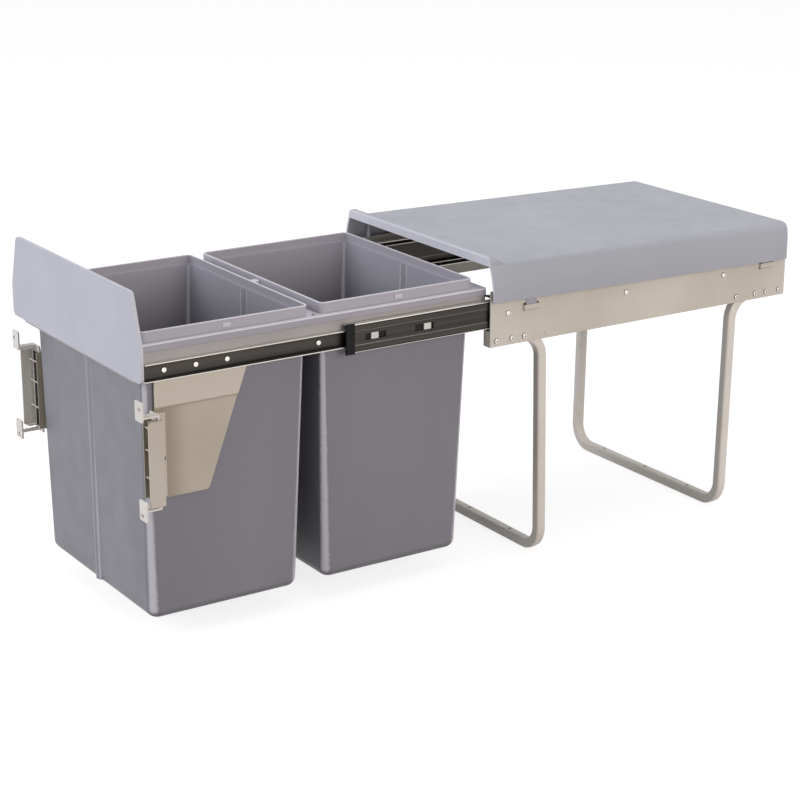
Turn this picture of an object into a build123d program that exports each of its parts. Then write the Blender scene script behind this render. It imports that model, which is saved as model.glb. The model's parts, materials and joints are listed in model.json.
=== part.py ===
from build123d import *
import math
import os

# Pull-out double bin frame, drawn with the drawer fully open.
# Lengths are in millimetres, X runs across, -Y faces the cabinet door, Z is up from the floor.
# The origin lies on the floor, midway across and midway between the door brackets and the back.

# Main sizes
frame_length = 474.0
frame_width = 320.0
plate_bottom = 284.5
plate_top = 354.0
plate_sheet = 1.5
travel_short = 14.0
door_stand = 8.0
bearing_height = 324.3
running_gap = 0.3
hole_clearance = 0.05
cut_overrun = 1.0

# The drawer's travel, and the depth of the frame's front edge that centres the open part on the origin
drawer_travel = frame_length - travel_short
drawer_reach = drawer_travel + door_stand
frame_front = (drawer_reach - frame_length) / 2
drawer_front = frame_front - drawer_travel
middle_front = frame_front - drawer_travel / 2
outer_cage_front = frame_front - drawer_travel / 4
inner_cage_front = frame_front - drawer_travel * 3 / 4
plate_face = frame_width / 2
plate_inner = plate_face - plate_sheet
frame_rear = frame_front + frame_length

# Leg tubes
tube_size = 13.0
tube_wall = 1.2
tube_corner = 3.2
front_leg_face = 87.0
front_leg_lean = 1.28
rear_leg_face = 91.4
rear_leg_lean = 0.75
leg_top_bend = 31.0
leg_floor_bend = 29.0
floor_hole_radius = 2.5
floor_hole_spacing = 90.0

# Side plate details
front_tab_width = 13.5
front_tab_height = 19.5
bridge_start = 48.0
bridge_length = 23.0
bridge_rise = 3.5
bridge_low = 325.5
bridge_height = 6.0
bridge_slot = 1.6
bridge_rear_inset = 23.0
hook_width = 15.0
hook_wall = 1.5

# Top cover
cover_wall = 2.5
cover_top_front = 386.0
cover_top_rear = 380.2
cover_low_front = 341.2
cover_low_rear = 334.0
cover_half_top = 158.5
cover_half_low = 168.2
cover_bulge = 2.1
cover_crease_front = 2.6
cover_crease_rear = 13.0
cover_corner = 12.0
cover_rib = 2.5
cover_rib_inset = 30.0
cover_rib_count = 5
lip_height = 9.3
lip_depth = 20.0
lip_ridge = 3.0
lip_end_radius = 8.0

# Slides, as distances inwards from the plate's inner face
slide_depth = 12.7
slide_sheet = 1.2
outer_height = 45.0
outer_start = 2.0
outer_end_gap = 3.0
outer_lip = 2.2
middle_height = 34.0
middle_start = 32.0
middle_end_gap = 7.0
middle_inset = 2.3
middle_reach = 11.4
race_height = 8.7
race_step = 0.8
inner_height = 20.5
inner_start = 8.0
inner_end_gap = 26.0
inner_reach = 6.8
inner_lip = 2.0
cage_sheet = 0.5
inner_cage_sheet = 0.6
outer_cage_start = 135.0
outer_cage_length = 200.0
inner_cage_start = 153.0
inner_cage_length = 166.0
ball_pitch = 14.0
ball_clearance = 0.05
ball_pocket = 0.1
cage_end = 6.0
bumper_rim = 0.8

# Middle slide windows and clip
window_height = 7.6
first_window = 57.0
first_window_length = 28.0
first_tab = 65.0
second_window = 125.5
second_window_length = 26.0
second_tab = 138.0
tab_length = 10.0
clip_length = 10.0
clip_nose = 1.5
clip_height = 36.4
clip_reach = 0.8
clip_waist = 6.0
clip_waist_height = 9.0
clip_waist_depth = 0.6

# Carrier
carrier_sheet = 1.6
carrier_low = 314.5
carrier_front = -2.0
carrier_end_gap = 12.0
tray_half = 150.0
tray_top = 356.2
tray_low = 348.0
tray_plate = 2.5
tray_wall = 2.5
tray_corner = 4.0
bin_gap = 0.8
tray_post_width = 9.0
tray_post_height = 9.5
tray_slot_inset = 8.0
tray_slot_width = 7.0
tray_slot_length = 5.0

# Bins
bin_half_rim = 143.0
bin_rim = 369.0
bin_bottom = 27.0
bin_wall = 2.2
bin_floor = 3.0
bin_step = 2.0
bin_half_bottom = 137.0
bin_front_taper = 5.2
bin_rear_taper = 13.2
bin_corner = 7.0
bin_low_corner = 14.0
bin_foot = 12.5
front_bin_start = 8.0
bin_spacing = 15.5
rear_bin_margin = 16.5
pleat_half_top = 8.0
pleat_half_low = 7.0
pleat_depth_top = 1.0
pleat_depth_low = 3.0
pleat_top_gap = 6.0
pleat_low_gap = 6.0
pleat_root = 3.3
nib_width = 10.0
nib_height = 5.0
nib_reach = 0.8
nib_rise = 3.5

# Front panel
panel_front = -6.0
panel_thick = 4.0
panel_low = 319.0
panel_high = 418.5
panel_half = 170.0
panel_half_top = 152.0
panel_shoulder = 358.0
panel_top_radius = 8.0
panel_low_radius = 6.5

# Door bracket assembly
bracket_sheet = 1.6
bracket_face = 143.0
bracket_joggle = 1.2
bracket_crease = 281.0
bracket_top = 331.0
bracket_bottom = 175.0
bracket_front = 22.0
bracket_rear_low = 87.0
bracket_slope = 0.3685
bracket_radius = 6.0
nose_front = 8.0
nose_low = 179.0
nose_high = 275.0
holder_sheet = 2.0
holder_half = 172.0
holder_front = 0.0
holder_web = 18.5
holder_flange = 15.5
holder_low = 177.5
holder_high = 275.5
holder_fold = 7.0
holder_radius = 3.0
cover_strip_inner = 149.0
cover_strip_outer = 158.5
cover_strip_sheet = 1.2
pin_radius = 0.9
pin_heights = (204.0, 236.0, 262.0)
adjust_range = 2.0
door_sheet = 2.0
door_inner = 147.0
door_outer = 167.5
door_web = 14.0
door_arm_high = 281.0
door_arm_low = 172.0
tab_width = 17.0
upper_tab_edge = 156.5
lower_tab_edge = 159.5
upper_tab_top = 300.0
lower_tab_top = 187.0
lower_tab_bottom = 163.5
tab_radius = 2.0
slot_across = 166.0
upper_slot_height = 291.0
lower_slot_height = 169.0
door_slot_radius = 2.3
door_slot_length = 8.0

# Fasteners
screw_head = 3.3
screw_head_height = 1.7
screw_shank = 1.9
screw_length = 5.0
head_rounding = 0.6
dome_rounding = 0.9
rivet_head = 3.4
rivet_head_height = 1.5
rivet_shank = 2.0
pale_rivet_head = 2.6
pale_rivet_height = 0.7
leg_screw_height = 292.0
leg_screw_depths = (9.6, 32.0, 50.8)
leg_far_depth = 83.0
pale_rivet_places = ((83.0, 291.7), (98.5, 294.5))
front_slide_rivets = (26.0, 207.0)
rear_slide_rivet = 107.0
front_drawer_rivets = (33.0, 72.0, 111.0)
rear_drawer_rivets = (245.0, 134.0, 54.0)
adjuster_heights = (190.0, 250.0)
adjuster_head = 3.4
adjuster_head_height = 1.3
adjuster_radius = 2.0
adjuster_slot_gap = 0.3
holder_screw_height = 222.5
holder_screw_inset = 11.0
panel_screw_spread = 110.0

# Lengths and places along the depth that follow the frame's length
outer_length = frame_length - outer_start - outer_end_gap
middle_length = frame_length - middle_start - middle_end_gap
inner_length = frame_length - inner_start - inner_end_gap
carrier_rear = frame_length - carrier_end_gap
bin_length = (carrier_rear - rear_bin_margin - bin_spacing - front_bin_start) / 2
rear_bin_start = front_bin_start + bin_length + bin_spacing
middle_between_bins = drawer_front + rear_bin_start - bin_spacing / 2
collar_low = tray_top + running_gap
slide_rivet_depths = front_slide_rivets + (frame_length - rear_slide_rivet,)
drawer_rivet_depths = front_drawer_rivets + tuple(frame_length - inset for inset in rear_drawer_rivets)
adjuster_x = (door_inner + holder_half - holder_sheet) / 2 - bracket_joggle


def block(x_low, x_high, y_low, y_high, z_low, z_high):
    """A box between two opposite corners."""
    size = Box(abs(x_high - x_low), y_high - y_low, z_high - z_low)
    middle = ((x_low + x_high) / 2, (y_low + y_high) / 2, (z_low + z_high) / 2)
    return Pos(*middle) * size


def mirrored(shape):
    """The same piece for the other side of the frame."""
    return mirror(shape, about=Plane.YZ)


def both(shape):
    return [shape, mirrored(shape)]


def rod(radius, start, end):
    """A round bar from one point to another."""
    line = Vector(*end) - Vector(*start)
    plane = Plane(origin=start, z_dir=line.normalized())
    return extrude(plane * Circle(radius), amount=line.length)


def side_slab(outline, x_low, x_high):
    """A sheet that lies across X, drawn as an outline of depth and height."""
    face = make_face(Polyline([(x_low, y, z) for y, z in outline], close=True))
    return extrude(face, amount=x_high - x_low, dir=(1, 0, 0))


def front_slab(outline, y_low, y_high):
    """A sheet that faces the door, drawn as an outline of width and height."""
    face = make_face(Polyline([(x, y_low, z) for x, z in outline], close=True))
    return extrude(face, amount=y_high - y_low, dir=(0, 1, 0))


def group(solids):
    return Compound(children=[solid for shape in solids for solid in shape.solids()])


# Legs

def tube_section(plane):
    outer = plane * RectangleRounded(tube_size, tube_size, tube_corner)
    inside = tube_size - 2 * tube_wall
    return outer - plane * RectangleRounded(inside, inside, tube_corner - tube_wall)


def leg(back_face, lean):
    """A leg at the front: a square tube bent down from the plates and across the floor."""
    centre_x = plate_inner - tube_size / 2
    top_z = plate_bottom + tube_size / 2
    tilt = math.radians(lean)
    down = Vector(0, math.sin(tilt), -math.cos(tilt))
    square_off = Vector(0, math.cos(tilt), math.sin(tilt))
    upright_y = frame_front + back_face - tube_size / 2 / math.cos(tilt)
    turn = 90 - lean
    run_in = leg_top_bend * math.tan(math.radians(turn) / 2)
    start_y = frame_front + plate_sheet
    bend_y = upright_y - run_in

    top = Plane(origin=(centre_x, start_y, top_z), x_dir=(1, 0, 0), z_dir=(0, 1, 0))
    run = extrude(tube_section(top), amount=bend_y - start_y)
    bend_plane = Plane(origin=(centre_x, bend_y, top_z), x_dir=(1, 0, 0), z_dir=(0, 1, 0))
    bend_centre = (centre_x, bend_y, top_z - leg_top_bend)
    bend = revolve(tube_section(bend_plane), Axis(bend_centre, (-1, 0, 0)), turn)
    corner_end = Vector(centre_x, upright_y, top_z) + down * run_in
    drop = (corner_end.Z - tube_size / 2 - leg_floor_bend) / math.cos(tilt)
    upright = extrude(tube_section(Plane(corner_end, (1, 0, 0), down)), amount=drop)
    low = corner_end + down * drop
    low_centre = low + Vector(-leg_floor_bend, 0, 0)
    low_bend = revolve(tube_section(Plane(low, (1, 0, 0), down)), Axis(low_centre, square_off), 90)
    floor = low_centre + down * leg_floor_bend
    floor_run = extrude(tube_section(Plane(floor, square_off, (-1, 0, 0))), amount=floor.X)
    half = run + bend + upright + low_bend + floor_run
    whole = half + mirrored(half)

    # The underside is pressed flat where it stands
    sink = tube_size / 2 * math.sin(tilt)
    whole = Pos(0, 0, -sink) * whole
    under = block(-frame_width, frame_width, floor.Y - tube_size, floor.Y + tube_size, -tube_size, 0)
    holes = [rod(floor_hole_radius, (x, floor.Y, -cut_overrun), (x, floor.Y, tube_size + cut_overrun))
             for x in (-floor_hole_spacing, 0, floor_hole_spacing)]
    return whole - [under] - holes


def side_bore(radius, depth, height, x_low=bracket_face - cut_overrun):
    """A bore across X through whatever stands at one depth and height, on the right side."""
    start = (x_low, frame_front + depth, height)
    return rod(radius, start, (plate_face + cut_overrun, frame_front + depth, height))


def leg_screw_places():
    near_front = [(depth, leg_screw_height) for depth in leg_screw_depths]
    near_rear = [(frame_length - depth, leg_screw_height) for depth in leg_screw_depths]
    return near_front + near_rear + [(frame_length - leg_far_depth, leg_screw_height)]


def leg_screw_bores():
    bores = [side_bore(screw_shank + hole_clearance, *place) for place in leg_screw_places()]
    bores += [side_bore(rivet_shank + hole_clearance, *place) for place in pale_rivet_places]
    return bores


def bored_leg(whole):
    right = leg_screw_bores()
    inward = plate_inner - tube_size / 2
    outer_half = block(inward, plate_face + cut_overrun, frame_front, frame_rear, 0, plate_top)
    right = [bore & outer_half for bore in right]
    return whole - right - [mirrored(bore) for bore in right]


def leg_front():
    return bored_leg(leg(front_leg_face, front_leg_lean))


def leg_rear():
    middle = frame_front + frame_length / 2
    facing = Plane(origin=(0, middle, 0), z_dir=(0, 1, 0))
    return bored_leg(mirror(leg(rear_leg_face, rear_leg_lean), about=facing))


# Side plates

def bridge_starts():
    return (bridge_start, frame_length - bridge_rear_inset - bridge_length)


def side_plate():
    """The right side plate, with a folded front tab and two lanced bridges for the cover's hooks."""
    plate = block(plate_inner, plate_face, frame_front, frame_rear, plate_bottom, plate_top)
    bridge_high = bridge_low + bridge_height
    tab_inner = plate_face - front_tab_width
    tab_top = plate_bottom + front_tab_height
    plate += block(tab_inner, plate_face, frame_front, frame_front + plate_sheet, plate_bottom, tab_top)
    for depth in bridge_starts():
        start = frame_front + depth
        end = start + bridge_length
        raised = plate_face + bridge_rise
        window_low = bridge_low - bridge_slot
        window_high = bridge_high + bridge_slot
        plate -= block(plate_inner - cut_overrun, raised, start, end, window_low, window_high)
        plate += block(raised - plate_sheet, raised, start, end, bridge_low, bridge_high)
        for foot in (start, end - plate_sheet):
            plate += block(plate_inner, raised, foot, foot + plate_sheet, bridge_low, bridge_high)
    holes = leg_screw_bores()
    holes += [side_bore(rivet_shank + hole_clearance, depth, bearing_height) for depth in slide_rivet_depths]
    return plate - holes


# Top cover

def cover_face(y, top, low, inset, crease):
    """The cover's outline at one depth: a flat top and two flared skirts."""
    half_top = cover_half_top - inset
    half_low = cover_half_low - inset
    peak = top - inset
    across = Vector(half_low - half_top, 0, low - peak)
    outward = Vector(-across.Z, 0, across.X).normalized()
    right_top = Vector(half_top, y, peak)
    right_low = Vector(half_low, y, low)
    right_mid = (right_top + right_low) * 0.5 + outward * cover_bulge
    left_top = Vector(-half_top, y, peak)
    left_low = Vector(-half_low, y, low)
    left_mid = Vector(-right_mid.X, y, right_mid.Z)
    edges = [
        Line(left_low, right_low),
        ThreePointArc(right_low, right_mid, right_top),
        Line(right_top, left_top),
        ThreePointArc(left_top, left_mid, left_low),
    ]
    face = make_face(edges)
    upper = [corner for corner in face.vertices() if corner.Z > peak - cover_wall]
    return fillet(upper, crease)


def cover_body(inset, front, rear, low_drop):
    faces = [
        cover_face(front, cover_top_front, cover_low_front - low_drop, inset, cover_crease_front),
        cover_face(rear, cover_top_rear, cover_low_rear - low_drop, inset, cover_crease_rear - inset),
    ]
    body = loft(faces, ruled=True)
    half = cover_half_low + cover_wall
    corner = cover_corner - inset
    plan = Polyline([(-half, front), (half, front), (half, rear), (-half, rear)], close=True)
    plan = fillet(make_face(plan).vertices().sort_by(Axis.Y)[-2:], corner + half - cover_half_low)
    plan = extrude(plan, amount=cover_top_front + lip_height)
    return body & plan


def cover_lip():
    """The rounded lip that stands along the cover's front edge."""
    base = cover_top_front - cover_wall
    peak = cover_top_front + lip_height
    end = frame_front + lip_depth
    ridge = frame_front + lip_ridge
    shoulder = peak - lip_ridge
    half = cover_half_top
    start = frame_front
    round_mid = lip_ridge * (1 - math.sqrt(0.5))
    edges = [
        Line((-half, start, base), (-half, start, shoulder)),
        ThreePointArc((-half, start, shoulder), (-half, start + round_mid, peak - round_mid),
                      (-half, ridge, peak)),
        Spline([(-half, ridge, peak), (-half, end, cover_top_front)], tangents=[(0, 1, 0), (0, 1, -0.2)]),
        Line((-half, end, cover_top_front), (-half, end, base)),
        Line((-half, end, base), (-half, start, base)),
    ]
    bar = extrude(make_face(edges), amount=2 * half, dir=(1, 0, 0))
    ends = make_face(Polyline([(-half, start, base), (half, start, base), (half, start, peak),
                               (-half, start, peak)], close=True))
    ends = fillet(ends.vertices().sort_by(Axis.Z)[-2:], lip_end_radius)
    return bar & extrude(ends, amount=lip_depth, dir=(0, 1, 0))


def cover_hook(depth):
    """A tongue that hangs from the skirt and slips behind a bridge of the plate."""
    start = frame_front + depth + (bridge_length - hook_width) / 2
    end = start + hook_width
    inner = plate_face + running_gap
    arm_low = cover_low_front
    arm_high = arm_low + hook_wall
    tongue = block(inner, inner + hook_wall, start, end, bridge_low - bridge_slot / 2, arm_high)
    arm = block(inner, cover_half_low - cover_wall / 2, start, end, arm_low, arm_high)
    return tongue + arm


def top_cover():
    outer = cover_body(0, frame_front, frame_rear, 0)
    inner = cover_body(cover_wall, frame_front - cut_overrun, frame_rear - cover_wall, cover_wall)
    shell = outer - inner
    rib_pitch = (frame_length - 2 * cover_rib_inset) / (cover_rib_count - 1)
    for index in range(cover_rib_count):
        start = frame_front + cover_rib_inset + index * rib_pitch
        rib = block(plate_inner - cover_rib, cover_half_low, start, start + cover_rib, plate_top,
                    cover_top_front)
        rib = rib & outer
        shell += rib + mirrored(rib)
    shell += cover_lip()
    for depth in bridge_starts():
        hook = cover_hook(depth)
        shell += hook + mirrored(hook)
    slit = block(plate_inner - running_gap, plate_face + running_gap, frame_rear - 2 * cover_wall,
                 frame_rear + cut_overrun, cover_low_rear - cut_overrun, plate_top + running_gap)
    return shell - both(slit)


# Slides

def rounded_bends(member, web, low, high):
    """The member with the two long edges of its web rounded, as a rolled strip has them."""
    reach = slide_sheet / 2
    bends = [edge for edge in member.edges().filter_by(Axis.Y)
             if abs(edge.center().X - web) < reach and min(abs(edge.center().Z - low),
                                                           abs(edge.center().Z - high)) < reach]
    return fillet(bends, slide_sheet - hole_clearance)


def channel(web, tip, low, high, start, length, lip):
    """A channel that opens from its web towards its lipped tips, extruded rearwards."""
    sheet = slide_sheet
    step = sheet if web > tip else -sheet
    inner = web - step
    lip_inner = tip + step
    outline = [
        (web, low), (tip, low), (tip, low + lip), (lip_inner, low + lip), (lip_inner, low + sheet),
        (inner, low + sheet), (inner, high - sheet), (lip_inner, high - sheet), (lip_inner, high - lip),
        (tip, high - lip), (tip, high), (web, high),
    ]
    return rounded_bends(front_slab(outline, start, start + length), web, low, high)


outer_low = bearing_height - outer_height / 2
outer_high = bearing_height + outer_height / 2
middle_low = bearing_height - middle_height / 2
middle_high = bearing_height + middle_height / 2
inner_low = bearing_height - inner_height / 2
inner_high = bearing_height + inner_height / 2
middle_web = plate_inner - middle_inset
middle_tip = plate_inner - middle_reach
outer_tip = plate_inner - slide_depth + running_gap * 2
inner_web = plate_inner - slide_depth
inner_tip = inner_web + inner_reach
outer_ball_radius = (outer_high - slide_sheet - middle_high) / 2 - ball_clearance
inner_ball_radius = (middle_high - slide_sheet - inner_high) / 2 - ball_clearance
outer_row = (outer_high - slide_sheet + middle_high) / 2
inner_row = (middle_high - slide_sheet + inner_high) / 2
outer_ball_x = plate_inner - slide_depth / 2
inner_ball_x = inner_web + slide_sheet + inner_ball_radius
outer_cage_web = middle_web + running_gap + cage_sheet
inner_cage_web = inner_tip + cage_sheet + inner_cage_sheet
recess_web = middle_web - race_step


def outer_slide():
    start = frame_front + outer_start
    member = channel(plate_inner, outer_tip, outer_low, outer_high, start, outer_length, outer_lip)
    holes = [side_bore(rivet_shank + hole_clearance, depth, bearing_height) for depth in slide_rivet_depths]
    return member - holes


def middle_slide():
    """The middle member, with two raised ball tracks and two latch windows in its web."""
    low, high = middle_low, middle_high
    track_low = low + race_height
    track_high = high - race_height
    inside = middle_web - slide_sheet
    recess_inside = recess_web - slide_sheet
    outline = [
        (middle_web, low), (middle_tip, low), (middle_tip, low + slide_sheet), (inside, low + slide_sheet),
        (inside, track_low), (recess_inside, track_low), (recess_inside, track_high), (inside, track_high),
        (inside, high - slide_sheet), (middle_tip, high - slide_sheet), (middle_tip, high),
        (middle_web, high), (middle_web, track_high), (recess_web, track_high),
        (recess_web, track_low), (middle_web, track_low),
    ]
    start = middle_front + middle_start
    member = rounded_bends(front_slab(outline, start, start + middle_length), middle_web, low, high)
    for offset, length in ((first_window, first_window_length), (second_window, second_window_length)):
        window = middle_front + offset
        low_edge = bearing_height - window_height / 2
        member -= block(recess_inside - cut_overrun, recess_web + cut_overrun, window, window + length,
                        low_edge, low_edge + window_height)
    return member


def latch_tabs():
    low = bearing_height - window_height / 2
    tabs = []
    for offset in (first_tab, second_tab):
        start = middle_front + offset
        tabs.append(block(recess_web - slide_sheet, recess_web, start, start + tab_length,
                          low, low + window_height))
    return group(tabs)


def slide_clip(member):
    """The clip that wraps the middle member's front end."""
    start = middle_front + middle_start
    outer = middle_web + clip_reach
    end = start + clip_length
    clip = block(recess_web - slide_sheet, outer, start - clip_nose, end,
                 bearing_height - clip_height / 2, bearing_height + clip_height / 2)
    for centre in (bearing_height - clip_waist_height, bearing_height + clip_waist_height):
        clip -= block(outer - clip_waist_depth, outer + cut_overrun, end - clip_waist, end + cut_overrun,
                      centre - clip_waist / 2, centre + clip_waist / 2)
    return clip - member


def inner_slide():
    start = drawer_front + inner_start
    member = channel(inner_web, inner_tip, inner_low, inner_high, start, inner_length, inner_lip)
    return member - drawer_rivet_bores()


def ball_places(row, x, start, length):
    count = int((length - 2 * cage_end) / ball_pitch) + 1
    first = start + (length - (count - 1) * ball_pitch) / 2
    low_row = 2 * bearing_height - row
    return [(x, first + index * ball_pitch, z) for index in range(count) for z in (low_row, row)]


def cage(web, tip, row, sheet, radius, x, start, length):
    """A strip that spaces two rows of balls."""
    low = 2 * bearing_height - row - sheet / 2
    high = row + sheet / 2
    inner = web - sheet
    outline = [(web, low), (tip, low), (tip, low + sheet), (inner, low + sheet), (inner, high - sheet),
               (tip, high - sheet), (tip, high), (web, high)]
    strip = front_slab(outline, start, start + length)
    pockets = [Pos(*place) * Sphere(radius + ball_pocket) for place in ball_places(row, x, start, length)]
    return strip - pockets


def outer_cage():
    tip = outer_tip + slide_sheet + running_gap
    return cage(outer_cage_web, tip, outer_row, cage_sheet, outer_ball_radius, outer_ball_x,
                outer_cage_front + outer_cage_start, outer_cage_length)


def outer_balls():
    places = ball_places(outer_row, outer_ball_x, outer_cage_front + outer_cage_start, outer_cage_length)
    return group([Pos(*place) * Sphere(outer_ball_radius) for place in places])


def inner_cage():
    return cage(inner_cage_web, middle_tip + cage_sheet, inner_row, inner_cage_sheet, inner_ball_radius,
                inner_ball_x, inner_cage_front + inner_cage_start, inner_cage_length)


def inner_balls():
    places = ball_places(inner_row, inner_ball_x, inner_cage_front + inner_cage_start, inner_cage_length)
    return group([Pos(*place) * Sphere(inner_ball_radius) for place in places])


def slide_bumper():
    """The black stop that rims the outer member's front end."""
    rim = block(outer_tip, plate_inner, frame_front + running_gap, frame_front + outer_start,
                outer_low - bumper_rim, outer_high + bumper_rim)
    inner = outer_tip - cut_overrun
    end = frame_front + outer_start + cut_overrun
    passage = block(inner, plate_inner - slide_sheet, frame_front, end, outer_low + slide_sheet,
                    outer_high - slide_sheet)
    tab_top = plate_bottom + front_tab_height + running_gap
    behind_tab = block(inner, plate_face, frame_front, end, plate_bottom, tab_top)
    return rim - passage - behind_tab


# Fasteners

def placed(shape, point, direction):
    return Plane(origin=point, z_dir=direction).location * shape


def screw(point, direction, head, height, shank, length):
    """A pan head with a cross recess on a plain shank; the point lies under the head."""
    top = fillet(Cylinder(head, height).edges().sort_by(Axis.Z)[-1], height * head_rounding)
    top = Pos(0, 0, height / 2) * top
    for width, depth in ((head, shank / 2), (shank / 2, head)):
        top -= Pos(0, 0, height) * Box(width, depth, height)
    stem = Pos(0, 0, -length / 2) * Cylinder(shank, length)
    return placed(top + stem, point, direction)


def rivet(point, direction, head, height, shank, length):
    """A domed head on a plain shank; the point lies under the head."""
    top = fillet(Cylinder(head, height).edges().sort_by(Axis.Z)[-1], height * dome_rounding)
    stem = Pos(0, 0, -length / 2) * Cylinder(shank, length)
    return placed(Pos(0, 0, height / 2) * top + stem, point, direction)


def leg_screws():
    screws = [screw((plate_face, frame_front + depth, z), (1, 0, 0), screw_head, screw_head_height,
                    screw_shank, screw_length) for depth, z in leg_screw_places()]
    return group(screws + [mirrored(item) for item in screws])


def pale_rivets():
    length = plate_sheet + tube_wall
    rivets = [rivet((plate_face, frame_front + depth, z), (1, 0, 0), pale_rivet_head, pale_rivet_height,
                    rivet_shank, length) for depth, z in pale_rivet_places]
    return group(rivets + [mirrored(item) for item in rivets])


def slide_rivets():
    length = plate_sheet + slide_sheet
    rivets = [rivet((plate_face, frame_front + depth, bearing_height), (1, 0, 0), rivet_head,
                    rivet_head_height, rivet_shank, length) for depth in slide_rivet_depths]
    return group(rivets + [mirrored(item) for item in rivets])


def drawer_rivet_bores():
    inward = bracket_face - cut_overrun
    return [rod(rivet_shank + hole_clearance, (inward, drawer_front + depth, bearing_height),
                (plate_inner, drawer_front + depth, bearing_height)) for depth in drawer_rivet_depths]


def drawer_rivets():
    face = inner_web + slide_sheet
    length = slide_sheet + carrier_sheet
    rivets = [rivet((face, drawer_front + depth, bearing_height), (1, 0, 0), rivet_head,
                    rivet_head_height, rivet_shank, length) for depth in drawer_rivet_depths]
    return group(rivets + [mirrored(item) for item in rivets])


# Carrier and bins

def carrier_frame():
    """The steel ring that the two slides carry, with a tie between the bins."""
    half = inner_web
    inside = half - carrier_sheet
    front = drawer_front + carrier_front
    rear = drawer_front + carrier_rear
    low, high = carrier_low, tray_top - tray_plate
    ring = block(-half, half, front, rear, low, high)
    ring -= block(-inside, inside, front + carrier_sheet, rear - carrier_sheet, low - cut_overrun,
                  high + cut_overrun)
    for edge in (front, rear - tray_wall):
        ring -= block(-half, half, edge, edge + tray_wall, tray_low, high)
    tie = middle_between_bins
    ring += block(-inside, inside, tie - carrier_sheet / 2, tie + carrier_sheet / 2, low, high)
    bores = drawer_rivet_bores()
    holes = bores + [mirrored(bore) for bore in bores]
    end = front + 2 * carrier_sheet
    holes += [rod(screw_shank + hole_clearance, (x, front - cut_overrun, z), (x, end, z))
              for x, z in panel_screw_places()]
    return ring - holes


def rounded_plate(half_x, y_low, y_high, z_low, z_high, radius):
    face = RectangleRounded(2 * half_x, y_high - y_low, radius)
    return extrude(Pos(0, (y_low + y_high) / 2, z_low) * face, amount=z_high - z_low)


def bin_starts():
    return (drawer_front + front_bin_start, drawer_front + rear_bin_start)


def bin_tray():
    """The moulded ring that the bins hang in."""
    front = drawer_front + carrier_front
    rear = drawer_front + carrier_rear
    tray = rounded_plate(tray_half, front, rear, tray_low, tray_top, tray_corner)
    inside = tray_half - tray_wall
    tray -= block(-inside, inside, front + tray_wall, rear - tray_wall, tray_low - cut_overrun,
                  tray_top - tray_plate)
    inset = bin_step - bin_gap
    for start in bin_starts():
        opening = rounded_plate(bin_half_rim - inset, start + inset, start + bin_length - inset,
                                tray_low - cut_overrun, tray_top + cut_overrun, bin_corner - inset)
        tray -= opening
    slot_outer = tray_half - tray_slot_inset
    slot = block(slot_outer - tray_slot_width, slot_outer, middle_between_bins - tray_slot_length / 2,
                 middle_between_bins + tray_slot_length / 2, tray_low, tray_top + cut_overrun)
    return tray - both(slot)


def tray_post():
    """The small post on the tray that keeps the two bins' rims apart."""
    half_gap = bin_spacing / 2 - running_gap
    return block(-tray_post_width / 2, tray_post_width / 2, middle_between_bins - half_gap,
                 middle_between_bins + half_gap, tray_top, tray_top + tray_post_height)


def bin_solid(start, inset, low, shoulder, top):
    """The bin's outer or inner form: a tapered box under a straight collar."""
    middle = start + bin_length / 2
    low_middle = middle + (bin_front_taper - bin_rear_taper) / 2
    low_half = bin_half_bottom - inset
    low_length = bin_length - bin_front_taper - bin_rear_taper - 2 * inset
    high_half = bin_half_rim - bin_step - inset
    high_length = bin_length - 2 * bin_step - 2 * inset
    corner = bin_corner - inset
    low_corner = bin_low_corner - inset
    low_face = Pos(0, low_middle, low) * RectangleRounded(2 * low_half, low_length, low_corner)
    high_face = Pos(0, middle, shoulder) * RectangleRounded(2 * high_half, high_length, corner)
    body = loft([low_face, high_face], ruled=True)
    rim_half = bin_half_rim - inset
    y_low = start + inset
    y_high = start + bin_length - inset
    return body + rounded_plate(rim_half, y_low, y_high, shoulder, top, corner)


def end_wall(start, side, inset, z):
    """The depth of the bin's front wall, side -1, or rear wall, side 1, at one height."""
    share = (z - bin_bottom) / (collar_low - bin_bottom)
    if side < 0:
        return start + inset + bin_front_taper + (bin_step - bin_front_taper) * share
    return start + bin_length - inset - bin_rear_taper - (bin_step - bin_rear_taper) * share


def pleat(start, side, inset):
    """The upright pleat that stiffens an end wall, deeper towards the foot."""
    faces = []
    for z, half, depth in ((bin_bottom + pleat_low_gap + inset, pleat_half_low, pleat_depth_low),
                           (tray_low - pleat_top_gap, pleat_half_top, pleat_depth_top)):
        wall = end_wall(start, side, inset, z)
        root = wall - side * pleat_root
        faces.append(make_face([
            ThreePointArc((-half, wall, z), (0, wall + side * depth, z), (half, wall, z)),
            Line((half, wall, z), (half, root, z)),
            Line((half, root, z), (-half, root, z)),
            Line((-half, root, z), (-half, wall, z)),
        ]))
    return loft(faces, ruled=True)


def make_bin(start):
    floor_top = bin_bottom + bin_floor
    outer = bin_solid(start, 0, bin_bottom, collar_low, bin_rim)
    outer = fillet(outer.edges().group_by(Axis.Z)[0], bin_foot)
    inner = bin_solid(start, bin_wall, floor_top, collar_low + bin_wall, bin_rim + cut_overrun)
    inner = fillet(inner.edges().group_by(Axis.Z)[0], bin_foot - bin_wall)
    for side in (-1, 1):
        outer += pleat(start, side, 0)
        inner += pleat(start, side, bin_wall)
    shell = outer - inner
    middle = start + bin_length / 2
    nib_low = collar_low + nib_rise
    nib = block(bin_half_rim, bin_half_rim + nib_reach, middle - nib_width / 2, middle + nib_width / 2,
                nib_low, nib_low + nib_height)
    return shell + nib + mirrored(nib)


# Front panel

def panel_screw_places():
    z = carrier_low + (tray_low - carrier_low) / 2
    return [(side * panel_screw_spread, z) for side in (-1, 1)]


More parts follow.
